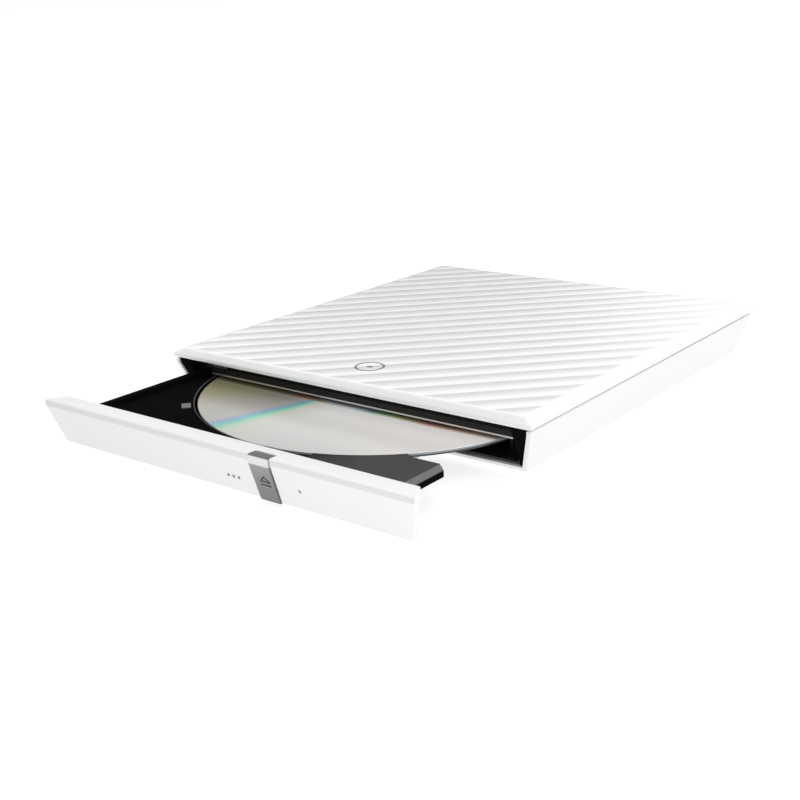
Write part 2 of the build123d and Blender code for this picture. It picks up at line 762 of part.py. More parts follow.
hook_x, hook_y = 50.0, -115.0
hook_turn = 9.0
barb_y = 11.4
hook_plane = Plane(origin=(hook_x, hook_y, 4.4)).rotated((0, 0, hook_turn))
with BuildPart() as latch_hook:
    with BuildSketch(hook_plane):
        with BuildLine():
            Polyline(
                (-1.4, 0), (1.4, 0), (1.4, barb_y), (3.0, barb_y), (3.0, barb_y + 0.8),
                (1.6, barb_y + 2.2), (-1.4, barb_y + 2.2), close=True,
            )
        make_face()
        Circle(2.2)
        Circle(0.95, mode=Mode.SUBTRACT)
    extrude(amount=1.6)
finish(latch_hook, "latch_hook")

with BuildPart() as latch_pin:
    with BuildSketch(Plane.XY.offset(4.2)):
        with Locations((hook_x, hook_y)):
            Circle(0.9)
    extrude(amount=block_bottom - 4.2)
finish(latch_pin, "latch_pin")

with BuildPart() as latch_solenoid:
    with BuildSketch(Plane.XZ.offset(118)):
        with Locations((45.0, 5.5)):
            RectangleRounded(4.4, 2.4, 0.8)
    extrude(amount=-9)
finish(latch_solenoid, "latch_solenoid")

with BuildPart() as flex_cable:
    add(slab((-46, -32), (-6, module_rear - sheet - 0.6), (chassis_floor, chassis_floor + 0.12)))
finish(flex_cable, "flex_cable")

# Bridge electronics behind the drive
with BuildPart() as drive_connector:
    add(slab((-40, -6), (module_rear, module_rear + 4.0), (5.9, 9.4)))
finish(drive_connector, "drive_connector")

with BuildPart() as bridge_board:
    add(slab((-42, 44), (61.2, 71.4), (board_bottom, board_top)))
    with BuildSketch(Plane.XY.offset(board_bottom)):
        with Locations(*board_mounts):
            Circle(0.8)
    extrude(amount=board_top - board_bottom, mode=Mode.SUBTRACT)
finish(bridge_board, "bridge_board")

with BuildPart() as board_connector:
    add(slab((-40, -6), (module_rear + 4.0, module_rear + 8.6), (board_top, 9.4)))
finish(board_connector, "board_connector")

with BuildPart() as bridge_chips:
    for x, y, width, depth, height in (
        (4, 64.4, 7, 5.6, 1.0), (18, 64, 4.6, 3.2, 1.3), (20, 69, 3, 2, 0.9), (-24, 69, 5, 3, 1.1),
        (40, 66.5, 3.4, 3.4, 2.2),
    ):
        add(slab((x - width / 2, x + width / 2), (y - depth / 2, y + depth / 2),
                 (board_top, board_top + height)))
finish(bridge_chips, "bridge_chips")

usb_mouth, usb_depth = 75.0, 9.2
with BuildPart() as usb_socket:
    with BuildSketch(Plane.XZ.offset(-usb_mouth)):
        with Locations((usb_x, usb_z)):
            RectangleRounded(7.7, 4.0, 0.5)
    extrude(amount=usb_depth)
    with BuildSketch(Plane.XZ.offset(-usb_mouth)):
        with Locations((usb_x, usb_z)):
            RectangleRounded(7.0, 3.3, 0.3)
    extrude(amount=usb_depth - 1.0, mode=Mode.SUBTRACT)
finish(usb_socket, "usb_socket")

with BuildPart() as usb_tongue:
    add(slab((usb_x - 2.7, usb_x + 2.7), (usb_mouth - usb_depth + 1.0, usb_mouth - 2.0),
             (usb_z + 0.3, usb_z + 1.2)))
finish(usb_tongue, "usb_tongue")
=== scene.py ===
"""Looks for the external optical drive: materials, moulded edges, light and camera.

Heights and places are in millimetres in the frame's own axes unless a name or comment says otherwise:
the tray comes out along -Y, and the drive stands on z = 0. `MM` turns them into Blender's metres.
"""

import json
from math import cos, exp, radians, sin, sqrt, tau

import bmesh
import bpy
from mathutils import Matrix, Vector

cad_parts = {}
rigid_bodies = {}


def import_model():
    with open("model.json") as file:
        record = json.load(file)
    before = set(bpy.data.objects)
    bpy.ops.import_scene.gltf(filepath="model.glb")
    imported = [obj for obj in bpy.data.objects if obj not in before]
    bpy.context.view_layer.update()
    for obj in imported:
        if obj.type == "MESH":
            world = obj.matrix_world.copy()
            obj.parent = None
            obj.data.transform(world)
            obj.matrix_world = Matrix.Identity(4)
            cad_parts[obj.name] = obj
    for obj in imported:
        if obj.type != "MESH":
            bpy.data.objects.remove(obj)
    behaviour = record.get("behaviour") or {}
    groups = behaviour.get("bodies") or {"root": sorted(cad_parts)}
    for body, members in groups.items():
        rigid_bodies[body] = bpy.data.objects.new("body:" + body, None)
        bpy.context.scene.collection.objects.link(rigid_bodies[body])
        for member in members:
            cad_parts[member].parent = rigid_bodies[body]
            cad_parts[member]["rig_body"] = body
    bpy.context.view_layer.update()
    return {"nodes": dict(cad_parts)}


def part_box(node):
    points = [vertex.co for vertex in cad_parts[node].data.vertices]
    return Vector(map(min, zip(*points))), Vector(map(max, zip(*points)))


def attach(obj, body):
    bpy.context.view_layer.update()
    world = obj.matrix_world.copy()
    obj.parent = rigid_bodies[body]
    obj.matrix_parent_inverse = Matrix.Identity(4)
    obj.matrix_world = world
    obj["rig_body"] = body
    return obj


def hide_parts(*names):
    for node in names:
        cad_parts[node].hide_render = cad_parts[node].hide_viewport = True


MM = 0.001
SCREW_PITCH = 0.6
RIB_PITCH = 8.5
RIB_DEPTH = 0.2
SIDE_BEVEL, END_BEVEL, BEVEL_HEIGHT = 3.2, 1.6, 2.0
COVER_BAND, COVER_HOLLOW = 16.2, 17.3
SIGN_X, SIGN_Y = 1.0, -60.5
STREAK_X, STREAK_LEAN = -13.0, 0.285
BUTTON_BEND_Z, BUTTON_LEAN = 13.3, 4.0 / 12.1
RECESS_RADIUS = 61.0
CLAMP_RADIUS = 21.5

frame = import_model()
nodes = frame["nodes"]
scene = bpy.context.scene


# ---------------------------------------------------------------- places on the object
def box_mm(name):
    """Lowest and highest corner of a CAD node."""
    low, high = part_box(name)
    return low / MM, high / MM


def centre(name):
    """Middle of a CAD node's box."""
    low, high = box_mm(name)
    return (low + high) / 2


disc_y, disc_top = centre("optical_disc").y, box_mm("optical_disc")[1].z
lens_y = centre("pickup_lens").y
screw_x, screw_z = centre("lead_screw").x, centre("lead_screw").z
lid_front = box_mm("drive_lid")[0].y
button_front = box_mm("eject_button")[0].y
bezel_front, bezel_top = box_mm("front_bezel")[0].y, box_mm("front_bezel")[1].z
cover_top = box_mm("top_cover")[1].z


# ---------------------------------------------------------------- node helpers
# The mix node has a set of sockets for each kind of value: these are the colour ones.
COLOR_A, COLOR_B, COLOR_RESULT = 6, 7, 2


class Shader:
    """A material's node tree with short calls for the nodes that the finishes use."""

    def __init__(self, name):
        self.material = bpy.data.materials.new(name)
        self.material.use_nodes = True
        self.tree = self.material.node_tree
        self.tree.nodes.clear()
        self.output = self.node("ShaderNodeOutputMaterial")
        self.bsdf = self.node("ShaderNodeBsdfPrincipled")
        self.link(self.bsdf.outputs["BSDF"], self.output.inputs["Surface"])
        self.place = self.node("ShaderNodeTexCoord").outputs["Object"]

    def node(self, kind, **settings):
        made = self.tree.nodes.new(kind)
        for key, value in settings.items():
            setattr(made, key, value)
        return made

    def link(self, source, target):
        self.tree.links.new(source, target)

    def put(self, socket, value):
        """Links a socket or sets a plain value on an input."""
        if isinstance(value, bpy.types.NodeSocket):
            self.link(value, socket)
        else:
            socket.default_value = value

    def set(self, **values):
        """Sets inputs of the main shader, with spaces written as underscores."""
        for key, value in values.items():
            self.put(self.bsdf.inputs[key.replace("_", " ")], value)
        return self

    def noise(self, size_mm, detail=3.0, roughness=0.5, stretch=None):
        """Soft noise of a grain size, drawn out along an axis whose stretch is under 1."""
        place = self.place
        if stretch:
            mapping = self.node("ShaderNodeMapping")
            mapping.inputs["Scale"].default_value = stretch
            self.link(place, mapping.inputs["Vector"])
            place = mapping.outputs["Vector"]
        made = self.node("ShaderNodeTexNoise")
        made.inputs["Scale"].default_value = 1 / (size_mm * MM)
        made.inputs["Detail"].default_value = detail
        made.inputs["Roughness"].default_value = roughness
        self.link(place, made.inputs["Vector"])
        return made.outputs["Fac"]

    def cells(self, size_mm, feature="F1"):
        """Distance inside cells of a size: to the cell's point, or to its edge."""
        made = self.node("ShaderNodeTexVoronoi", feature=feature)
        made.inputs["Scale"].default_value = 1 / (size_mm * MM)
        self.link(self.place, made.inputs["Vector"])
        return made.outputs["Distance"]

    def span(self, value, low, high, from_low=0.0, from_high=1.0, smooth=False):
        """Carries a value from one range to another, held at both ends."""
        made = self.node("ShaderNodeMapRange")
        if smooth:
            made.interpolation_type = "SMOOTHSTEP"
        for name, number in (
            ("From Min", from_low), ("From Max", from_high), ("To Min", low), ("To Max", high),
        ):
            self.put(made.inputs[name], number)
        self.put(made.inputs["Value"], value)
        return made.outputs["Result"]

    def math(self, operation, first, second=0.0):
        made = self.node("ShaderNodeMath", operation=operation)
        self.put(made.inputs[0], first)
        self.put(made.inputs[1], second)
        return made.outputs[0]

    def add(self, first, second):
        return self.math("ADD", first, second)

    def less(self, first, second):
        """The first value less the second."""
        return self.math("SUBTRACT", first, second)

    def times(self, first, second):
        return self.math("MULTIPLY", first, second)

    def mix(self, factor, first, second, blend="MIX"):
        """A colour between two colours."""
        made = self.node("ShaderNodeMix", data_type="RGBA", blend_type=blend)
        self.put(made.inputs["Factor"], factor)
        self.put(made.inputs[COLOR_A], first)
        self.put(made.inputs[COLOR_B], second)
        return made.outputs[COLOR_RESULT]

    def ramp(self, value, stops):
        """A colour looked up in a list of (position, colour) stops."""
        made = self.node("ShaderNodeValToRGB")
        elements = made.color_ramp.elements
        while len(elements) < len(stops):
            elements.new(0.5)
        for element, (position, color) in zip(elements, stops):
            element.position = position
            element.color = rgba(color)
        self.put(made.inputs["Fac"], value)
        return made.outputs["Color"]

    def axes(self, place=None):
        """X, Y and Z of a place, in metres."""
        made = self.node("ShaderNodeSeparateXYZ")
        self.link(place or self.place, made.inputs[0])
        return made.outputs

    def moved(self, location):
        """Object coordinates measured from another point."""
        made = self.node("ShaderNodeVectorMath", operation="SUBTRACT")
        self.link(self.place, made.inputs[0])
        made.inputs[1].default_value = location
        return made.outputs[0]

    def bump(self, height, depth_mm):
        """A normal bent by a height of 0 to 1 over a depth."""
        made = self.node("ShaderNodeBump")
        made.inputs["Strength"].default_value = 1.0
        made.inputs["Distance"].default_value = depth_mm * MM
        self.link(height, made.inputs["Height"])
        return made.outputs["Normal"]


def rgba(color):
    """A colour with its alpha, from a grey level or three numbers."""
    if isinstance(color, (int, float)):
        color = (color,) * 3
    return (*color, 1.0)


def tinted(color, factor):
    """A colour made darker or lighter."""
    return rgba([min(1.0, channel * factor) for channel in rgba(color)[:3]])


def within(s, value, low_mm, high_mm, soft_mm=0.03):
    """1 where a coordinate lies between two places, with a soft step at both."""
    rise = s.span(value, 0.0, 1.0, (low_mm - soft_mm) * MM, (low_mm + soft_mm) * MM)
    fall = s.span(value, 1.0, 0.0, (high_mm - soft_mm) * MM, (high_mm + soft_mm) * MM)
    return s.times(rise, fall)


def radius_from(s, x_mm, y_mm):
    """Distance from an upright line through a point."""
    x, y, _ = s.axes(s.moved((x_mm * MM, y_mm * MM, 0.0)))
    return s.math("SQRT", s.add(s.times(x, x), s.times(y, y)))


def inverse(s, mask):
    """1 where a mask is 0."""
    return s.less(1.0, mask)


def grained(name, color, rough, *, metallic=0.0, grain_mm=0.3, depth_mm=0.01, mottle=0.08):
    """A moulded, cast or rolled surface: fine bump, and slow drift of colour and roughness."""
    spread = 0.06
    s = Shader(name)
    drift = s.noise(9.0, detail=2.0)
    grain = s.noise(grain_mm, detail=4.0, roughness=0.6)
    s.set(
        Base_Color=s.mix(drift, tinted(color, 1 - mottle), tinted(color, 1 + mottle)),
        Roughness=s.span(grain, rough - spread, rough + spread, 0.3, 0.7),
        Metallic=metallic,
        Normal=s.bump(grain, depth_mm),
    )
    return s.material


def white_gloss(name="white_gloss_plastic", color=(0.86, 0.86, 0.857), pattern=None):
    """Injection-moulded glossy white: faint flow marks, an orange-peel skin and light handling haze.

    `pattern` takes the shader and its plain white, and returns the colour that the surface has instead.
    """
    s = Shader(name)
    flow = s.noise(26.0, detail=2.0, stretch=(1.0, 0.45, 1.0))
    peel = s.noise(1.6, detail=2.0)
    haze = s.noise(7.0, detail=5.0, roughness=0.65)
    skin = s.mix(flow, tinted(color, 0.985), tinted(color, 1.012))
    if pattern:
        skin = pattern(s, skin)
    s.set(
        Base_Color=skin,
        Roughness=s.span(haze, 0.10, 0.24, 0.3, 0.7),
        Normal=s.bump(peel, 0.002),
        Specular_IOR_Level=0.35,
        Coat_Weight=0.3,
        Coat_Roughness=0.06,
        Subsurface_Weight=0.08,
        Subsurface_Radius=(0.0012, 0.001, 0.0009),
        Subsurface_Scale=1.0,
    )
    return s.material


def bezel_painted_shade(s, _):
    """White with painted shade: a little darker towards the left end, and along the front of the lip."""
    left, right = rgba(0.76), rgba(0.89)
    x, y, z = s.axes()
    # Painted shade: the skin darkens towards the left end, and the lip's front band is darker still.
    skin = s.mix(s.span(x, 0.0, 1.0, -75 * MM, 75 * MM), left, right)
    front = s.span(y, 1.0, 0.0, (bezel_front + 0.3) * MM, (bezel_front + 0.7) * MM)
    lip = s.times(within(s, z, bezel_top - 1.95, bezel_top - 0.45, 0.12), front)
    return s.mix(s.times(lip, 0.22), skin, rgba(0.3))


def cover_white(s, skin):
    """White with painted shade in the valleys between the ribs, and the printed sign."""
    x, y, z = s.axes()
    phase = s.math("FRACT", s.math("DIVIDE", s.less(y, x), RIB_PITCH * sqrt(2) * MM))
    from_middle = s.math("ABSOLUTE", s.less(phase, 0.5))
    valley = s.span(from_middle, 0.0, 1.0, 0.40, 0.5, smooth=True)
    # Painted shade: the valleys between the ribs are darkened where shade falls.
    valley_shade = s.times(valley, s.span(z, 0.0, 0.1, (cover_top - 0.55) * MM, (cover_top - 0.35) * MM))
    skin = s.mix(valley_shade, skin, rgba(0.3))
    return s.mix(s.times(disc_sign(s), 0.8), skin, rgba(0.12))


def disc_sign(s):
    """1 on a small printed ring with a dot in it, which says what goes into the drawer."""
    ring_inner, ring_outer, dot_radius, soft = 4.1, 5.0, 1.1, 0.08
    distance = radius_from(s, SIGN_X, SIGN_Y)
    ring = within(s, distance, ring_inner, ring_outer, soft)
    dot = within(s, distance, -1.0, dot_radius, soft)
    return s.math("MAXIMUM", ring, dot)


def tray_plastic():
    """Black moulding with a fine spark-eroded skin, greyer on the block as painted sheen, with painted
    highlights on the block's bevel and the recess rim.
    """
    bare, sheen_tones, highlight_grey = (rgba(0.0035), rgba(0.007)), (rgba(0.072), rgba(0.095)), rgba(0.19)
    s = Shader("black_textured_plastic")
    grain = s.cells(0.35)
    fine = s.noise(0.16, detail=3.0)
    wear = s.noise(12.0, detail=4.0, roughness=0.6)
    skin = s.add(grain, s.times(fine, 0.6))
    x, y, z = s.axes()
    # Painted sheen: the block towards the right front is made greyer, as light glancing off it would.
    rightwards = s.span(x, 0.0, 1.0, 6 * MM, 38 * MM, smooth=True)
    land = s.span(z, 0.0, 1.0, 9.2 * MM, 9.5 * MM)
    frontwards = s.span(y, 1.0, 0.0, -92 * MM, -88 * MM)
    block = s.times(s.times(rightwards, land), frontwards)
    # Painted highlights: a pale strip on the block's bevel and a thin pale arc on the recess rim.
    bevel = s.times(within(s, x, 54.8, 57.4, 0.15), s.span(z, 0.0, 1.0, 8.95 * MM, 9.15 * MM))
    distance = radius_from(s, 0.0, disc_y)
    round_disc = within(s, distance, RECESS_RADIUS - 0.2, RECESS_RADIUS + 0.25, 0.06)
    rim = s.times(round_disc, s.span(z, 0.0, 1.0, 9.3 * MM, 9.7 * MM))
    edges = s.math("MAXIMUM", s.times(bevel, 0.9), s.times(rim, 0.6))
    tone = s.mix(s.times(block, 0.85), s.mix(wear, *bare), s.mix(wear, *sheen_tones))
    s.set(
        Base_Color=s.mix(edges, tone, highlight_grey),
        Roughness=s.span(wear, 0.4, 0.55, 0.3, 0.7),
        Normal=s.bump(skin, 0.008),
        Specular_IOR_Level=0.0,
    )
    return s.material


def brushed(name, color, rough, along, *, metallic=1.0, depth_mm=0.003):
    """Metal with fine brush lines running along one axis."""
    stretch = {"x": (0.02, 1, 1), "y": (1, 0.02, 1), "z": (1, 1, 0.02)}[along]
    s = Shader(name)
    lines = s.noise(0.12, detail=4.0, roughness=0.7, stretch=stretch)
    broad = s.noise(1.6, detail=2.0, stretch=stretch)
    mean = s.times(s.add(lines, broad), 0.5)
    s.set(
        Base_Color=s.mix(mean, tinted(color, 0.78), tinted(color, 1.16)),
        Roughness=s.span(lines, rough - 0.07, rough + 0.09, 0.25, 0.75),
        Metallic=metallic,
        Normal=s.bump(lines, depth_mm),
    )
    return s.material


def paint(name, material):
    """Gives a CAD node one material."""
    mesh = nodes[name].data
    mesh.materials.clear()
    mesh.materials.append(material)
    for polygon in mesh.polygons:
        polygon.material_index = 0


def slot_of(node):
    """The material slot that a CAD node came with."""
    return node.data.materials[0].name.split(".")[0]


# ---------------------------------------------------------------- moulded edges
def new_piece(name, bm, material, body, stands_for=()):
    """Turns a finished bmesh into a piece that rides on a CAD body."""
    mesh = bpy.data.meshes.new(name)
    bm.to_mesh(mesh)
    bm.free()
    for polygon in mesh.polygons:
        polygon.use_smooth = True
    mesh.materials.append(material)
    piece = bpy.data.objects.new(name, mesh)
    scene.collection.objects.link(piece)
    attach(piece, body)
    if stands_for:
        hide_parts(*stands_for)
    return piece


def rounded(node, radius_mm, material, *, shortest_mm=1.2):
    """The CAD node's own shape with its long sharp edges rounded as a mould or a press leaves them."""
    least_bend, flat_bend, smooth_bend = radians(28), radians(0.4), radians(38)
    source = nodes[node]
    bm = bmesh.new()
    bm.from_mesh(source.data)
    bmesh.ops.remove_doubles(bm, verts=bm.verts, dist=1e-6)
    bmesh.ops.dissolve_limit(bm, angle_limit=flat_bend, verts=bm.verts, edges=bm.edges)
    edges = [
        edge for edge in bm.edges
        if len(edge.link_faces) == 2
        and edge.calc_length() > shortest_mm * MM
        and edge.calc_face_angle() > least_bend
    ]
    bmesh.ops.bevel(
        bm, geom=edges, offset=radius_mm * MM, segments=2, profile=0.5, affect="EDGES", clamp_overlap=False,
    )
    piece = new_piece(node + "_moulded", bm, material, source["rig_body"], (node,))
    piece.data.set_sharp_from_angle(angle=smooth_bend)
    weighted = piece.modifiers.new("even_normals", "WEIGHTED_NORMAL")
    weighted.keep_sharp = True


def cover_height(x, y, half_x, half_y, top):
    """Height of the cover's upper side at a point, in millimetres: ribs that fade into the bevels."""
    valley_round, soft = 0.004, 0.12
    half = RIB_PITCH / 2
    across = (y - x) / sqrt(2)
    share = ((across % RIB_PITCH) - half) / half
    rib = top - RIB_DEPTH * (1 - sqrt((1 - share * share) ** 2 + valley_round))
    side = top - BEVEL_HEIGHT + (half_x - abs(x)) * BEVEL_HEIGHT / SIDE_BEVEL
    end = top - BEVEL_HEIGHT + (half_y - abs(y)) * BEVEL_HEIGHT / END_BEVEL
    lowest = min(rib, side, end)
    total = sum(exp((lowest - height) / soft) for height in (rib, side, end))
    return lowest - soft * 0.6 * (total - 1)


def steps(half, spacing, margin):
    """Grid lines from -half to half, closer together near both ends."""
    inner = half - margin
    count = round(2 * inner / spacing)
    middle = [-inner + 2 * inner * k / count for k in range(count + 1)]
    outer = [inner + margin * share for share in (0.25, 0.5, 0.75, 0.93, 1.0)]
    return [-value for value in reversed(outer)] + middle + outer


def ribbed_cover(material):
    """The cover as one fine skin: ribs on top, a rounded band round its edge and a lip underneath."""
    half_x, half_y, top = box_mm("top_cover")[1]
    spacing = 0.8
    columns = steps(half_x, spacing, SIDE_BEVEL + 0.2)
    rows = steps(half_y, spacing, END_BEVEL + 0.3)
    bm = bmesh.new()

    def corner(x, y):
        return bm.verts.new((x * MM, y * MM, cover_height(x, y, half_x, half_y, top) * MM))

    grid = [[corner(x, y) for x in columns] for y in rows]
    for lower, upper in zip(grid, grid[1:]):
        for k in range(len(columns) - 1):
            bm.faces.new((lower[k], lower[k + 1], upper[k + 1], upper[k]))
    rim = grid[0] + [row[-1] for row in grid[1:-1]] + grid[-1][::-1] + [row[0] for row in grid[-2:0:-1]]
    band = (
        (0.0, top - BEVEL_HEIGHT - 0.25), (0.0, COVER_BAND + 0.3), (0.12, COVER_BAND + 0.05),
        (0.3, COVER_BAND), (2.8, COVER_BAND), (3.0, COVER_BAND + 0.2), (3.0, COVER_HOLLOW),
    )
    loop = rim
    for inset, height in band:
        scale_x, scale_y = (half_x - inset) / half_x, (half_y - inset) / half_y
        lower = [bm.verts.new((v.co.x * scale_x, v.co.y * scale_y, height * MM)) for v in rim]
        for k in range(len(rim)):
            bm.faces.new((loop[k], lower[k], lower[k - len(rim) + 1], loop[k - len(rim) + 1]))
        loop = lower
    bm.faces.new(loop)
    bmesh.ops.recalc_face_normals(bm, faces=bm.faces)
    piece = new_piece("ribbed_cover", bm, material, "casing", ("top_cover",))
    piece.data.set_sharp_from_angle(angle=radians(50))


# ---------------------------------------------------------------- finishes
def striped(s, value, pitch_mm, share):
    """1 on evenly spaced stripes."""
    phase = s.math("FRACT", s.math("DIVIDE", value, pitch_mm * MM))
    return s.math("LESS_THAN", phase, share)


def lid_finish():
    """Plated sheet: bare on top and along the cut edge, painted black on the turned-down front."""
    s = Shader("painted_lid_steel")
    _, y, z = s.axes()
    front = s.math("LESS_THAN", y, (lid_front + 0.55) * MM)
    painted = s.times(front, within(s, z, 10.78, 13.6, 0.06))
    lines = s.noise(0.2, detail=3.0, roughness=0.7, stretch=(0.03, 1, 1))
    bare = s.mix(lines, rgba(0.5), rgba(0.7))
    paint_black = s.mix(lines, rgba(0.006), rgba(0.012))
    s.set(
        Base_Color=s.mix(painted, bare, paint_black),
        Metallic=s.span(painted, 0.75, 0.0),
        Roughness=s.add(s.span(painted, 0.3, 0.5), s.span(lines, -0.05, 0.07)),
        Specular_IOR_Level=0.25,
        Normal=s.bump(lines, 0.003),
    )
    return s.material


def foam():
    """Black open-cell foam."""
    s = Shader("open_cell_foam")
    pores = s.cells(0.55)
    fine = s.noise(0.3, detail=3.0)
    s.set(
        Base_Color=s.mix(pores, rgba(0.004), rgba(0.018)),
        Roughness=s.span(fine, 0.85, 1.0),
        Normal=s.bump(s.add(pores, fine), 0.15),
        Specular_IOR_Level=0.1,
    )
    return s.material


def painted_reflection_tone(s, x, y, swirl):
    """The disc's colour across it as painted reflection: olive on the left where it mirrors the dark
    studio, then a narrow painted spectral streak, then pale.
    """
    lean = s.times(s.add(y, 76.0 * MM), STREAK_LEAN)
    across = s.less(x, s.add(lean, STREAK_X * MM))
    across = s.math("DIVIDE", across, s.span(y, 1.8, 0.8, -106 * MM, -75 * MM))
    wavy = s.add(across, s.span(swirl, -0.5 * MM, 0.5 * MM, 0.3, 0.7))
    olive = ((0.0, (0.42, 0.40, 0.22)), (0.15, (0.46, 0.44, 0.30)), (0.26, (0.48, 0.46, 0.40)))
    streak = (
        (0.374, (0.50, 0.49, 0.47)), (0.384, (0.36, 0.42, 0.60)), (0.392, (0.22, 0.50, 0.62)),
        (0.406, (0.22, 0.62, 0.50)), (0.424, (0.50, 0.74, 0.56)), (0.445, (0.70, 0.70, 0.64)),
    )
    pale = ((0.52, (0.71, 0.705, 0.69)), (0.75, (0.74, 0.72, 0.70)), (1.0, (0.76, 0.745, 0.725)))
    return s.ramp(s.span(wavy, 0.0, 1.0, -40 * MM, 60 * MM), olive + streak + pale)


def lid_reflection_tone(s, x):
    """Broad spectral bands on the part of the disc that lies under the lid: painted reflection of the lid's
    edge, darkened as painted shade.
    """
    return s.ramp(s.span(x, 0.0, 1.0, -25 * MM, 50 * MM), (
        (0.0, (0.20, 0.16, 0.10)), (0.1, (0.40, 0.17, 0.06)), (0.22, (0.40, 0.24, 0.10)),
        (0.32, (0.20, 0.16, 0.42)), (0.42, (0.10, 0.30, 0.42)), (0.50, (0.12, 0.42, 0.25)),
        (0.60, (0.36, 0.42, 0.12)), (0.77, (0.42, 0.14, 0.10)), (0.9, (0.52, 0.34, 0.16)),
        (1.0, (0.6, 0.5, 0.4)),
    ))


def disc_finish():
    """A mirror layer under polycarbonate, with a clear clamping ring; its colours are painted reflection,
    with painted shade near the front and under the lid, a painted glow towards the lid, and a painted lit
    band over a shaded foot on its edge.
    """
    clamp_tone = rgba((0.52, 0.54, 0.55))
    lit_edge_band, shaded_edge_foot = rgba((0.30, 0.34, 0.37)), rgba((0.03, 0.035, 0.045))
    s = Shader("disc_mirror_layer")
    x, y, z = s.axes()
    swirl = s.noise(16.0, detail=3.0, roughness=0.6)
    wavy_y = s.add(y, s.span(swirl, -0.4 * MM, 0.4 * MM))
    # Painted shade and reflection: the disc turns into dark coloured bands as it goes under the lid.
    lid_shade = s.span(wavy_y, 0.0, 1.0, (lid_front - 3.0) * MM, (lid_front - 0.8) * MM, smooth=True)
    body = s.mix(s.times(lid_shade, 0.8), painted_reflection_tone(s, x, y, swirl), lid_reflection_tone(s, x))
    clamp_ring = s.math("LESS_THAN", radius_from(s, 0.0, disc_y), CLAMP_RADIUS * MM)
    body = s.mix(clamp_ring, body, clamp_tone)
    # Painted light and shade on the disc's edge: a pale upper band over a near-black foot.
    edge = s.math("LESS_THAN", z, (disc_top - 0.12) * MM)
    edge_tone = s.mix(s.math("LESS_THAN", z, (disc_top - 0.65) * MM), lit_edge_band, shaded_edge_foot)
    # Painted shade: the disc's colour darkens towards its front.
    shade = s.mix(s.span(y, 0.8, 1.0, -112.0 * MM, -92.0 * MM), rgba(0.0), rgba(1.0))
    shaded = s.mix(1.0, body, shade, blend="MULTIPLY")
    # Painted light: the disc glows a little towards the lid, in place of light bounced onto it.
    rearwards = s.span(y, 0.0, 0.5, -94 * MM, -76 * MM, smooth=True)
    rightwards = s.span(x, 0.2, 1.0, -24 * MM, 2 * MM, smooth=True)
    outside = s.span(y, 1.0, 0.0, (lid_front - 1.4) * MM, lid_front * MM)
    painted_glow = s.times(s.times(rearwards, rightwards), outside)
    s.set(
        Emission_Color=body,
        Emission_Strength=s.times(painted_glow, inverse(s, edge)),
        Base_Color=s.mix(edge, shaded, edge_tone),
        Metallic=s.times(inverse(s, edge), 0.3),
        Roughness=s.span(swirl, 0.26, 0.34),
        Coat_Weight=0.15,
        Coat_Roughness=0.12,
        Normal=s.bump(swirl, 0.002),
    )
    return s.material


def button_finish():
    """Satin metal skin with painted light: a painted highlight along its upper band, and painted shade on
    its top and towards its foot.
    """
    s = Shader("satin_button_metal")
    _, _, z = s.axes()
    lines = s.noise(0.14, detail=4.0, roughness=0.7, stretch=(0.03, 1, 1))
    # Painted highlight and shade by height: bright on the lip's front band, dark on the top and down the
    # face.
    tone = s.ramp(s.span(z, 0.0, 1.0, 0.0, 16.0 * MM), (
        (0.08, 0.17), (0.5, 0.21), (0.80, 0.30), (0.83, 0.80), (0.955, 0.82), (0.972, 0.10), (1.0, 0.08),
    ))
    s.set(
        Base_Color=s.mix(s.times(lines, 0.25), tone, rgba(0.3)),
        Metallic=s.span(lines, 0.35, 0.5),
        Roughness=s.span(lines, 0.28, 0.42, 0.25, 0.75),
        Normal=s.bump(lines, 0.003),
    )
    return s.material


def board_finish():
    """Green solder mask over copper tracks, with bright pads."""
    s = Shader("solder_mask_board")
    x, _, _ = s.axes()
    tracks = s.math("LESS_THAN", s.cells(3.1, "DISTANCE_TO_EDGE"), 0.055)
    fine = s.times(striped(s, x, 1.27, 0.3), s.math("GREATER_THAN", s.noise(7.0), 0.55))
    pads = s.math("LESS_THAN", s.cells(1.9), 0.16)
    weave = s.noise(0.5, detail=3.0)
    green = s.mix(weave, rgba((0.008, 0.07, 0.03)), rgba((0.012, 0.1, 0.04)))
    green = s.mix(s.math("MAXIMUM", tracks, fine), green, rgba((0.02, 0.16, 0.06)))
    s.set(
        Base_Color=s.mix(pads, green, rgba((0.7, 0.62, 0.4))),
        Metallic=s.times(pads, 0.9),
        Roughness=s.span(weave, 0.28, 0.4),
        Normal=s.bump(s.add(tracks, pads), 0.03),
    )
    return s.material


def contacts_finish(name, pitch_mm, share, low_z, high_z):
    """Black nylon body with a row of gold contacts."""
    s = Shader(name)
    x, _, z = s.axes()
    gold = s.times(striped(s, x, pitch_mm, share), within(s, z, low_z, high_z))
    grain = s.noise(0.25, detail=3.0)
    nylon = s.mix(grain, rgba(0.012), rgba(0.024))
    s.set(
        Base_Color=s.mix(gold, nylon, rgba((0.75, 0.52, 0.18))),
        Metallic=gold,
        Roughness=s.less(s.span(grain, 0.42, 0.58), s.times(gold, 0.2)),
        Normal=s.bump(s.add(s.times(grain, 0.3), gold), 0.04),
    )
    return s.material


